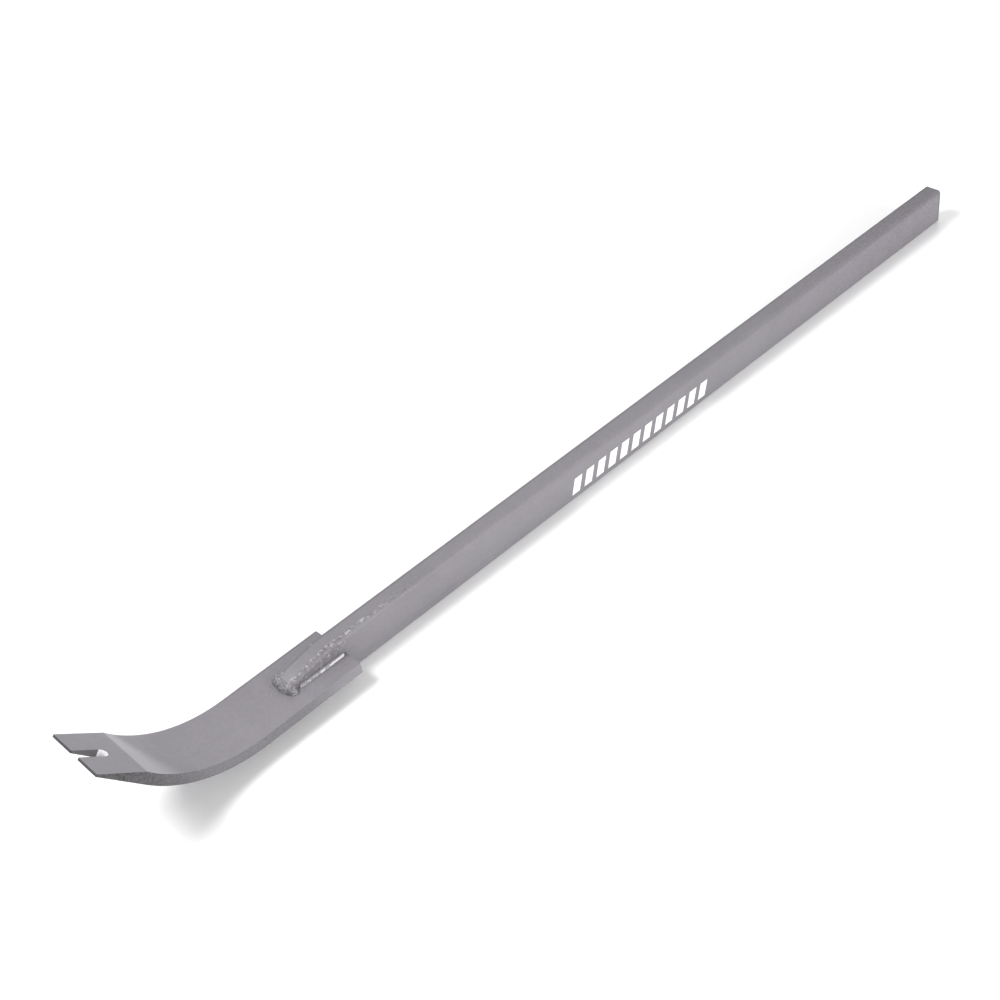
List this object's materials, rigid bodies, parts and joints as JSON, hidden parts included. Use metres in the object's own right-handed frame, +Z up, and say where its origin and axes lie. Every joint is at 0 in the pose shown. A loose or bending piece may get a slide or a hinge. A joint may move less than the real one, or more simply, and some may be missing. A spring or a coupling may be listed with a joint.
{
  "type": "pry bar",
  "caption": "Long rigid demolition pry bar: bent steel claw plate with a nail slot, slotted through and welded to a capped rectangular tube handle.",
  "frame": {"origin": "middle of the bar's length and width, on the floor it lies on; the tube's bottom face is at z = 0", "axes": "+X runs along the handle from the claw to the end cap, +Y to the left of the bar, +Z up; the claw's tip curves up at the -X end"},
  "size_m": [1.4278, 0.0762, 0.1349],
  "materials": {
    "painted_claw": "matt warm-grey powder coat over forged steel plate",
    "painted_tube": "matt warm-grey powder coat over steel tube",
    "painted_cap": "matt warm-grey powder coat over dressed steel",
    "painted_weld": "thin, slightly glossy grey coat over rippled weld beads"
  },
  "bodies": {
    "root": {"claw_plate": "painted_claw", "handle_tube": "painted_tube", "end_cap": "painted_cap", "end_cap_weld": "painted_cap", "weld_top_nose": "painted_weld", "weld_top_left": "painted_weld", "weld_top_right": "painted_weld", "weld_bottom_nose": "painted_weld", "weld_bottom_left": "painted_weld", "weld_bottom_right": "painted_weld"}
  },
  "joints": []
}
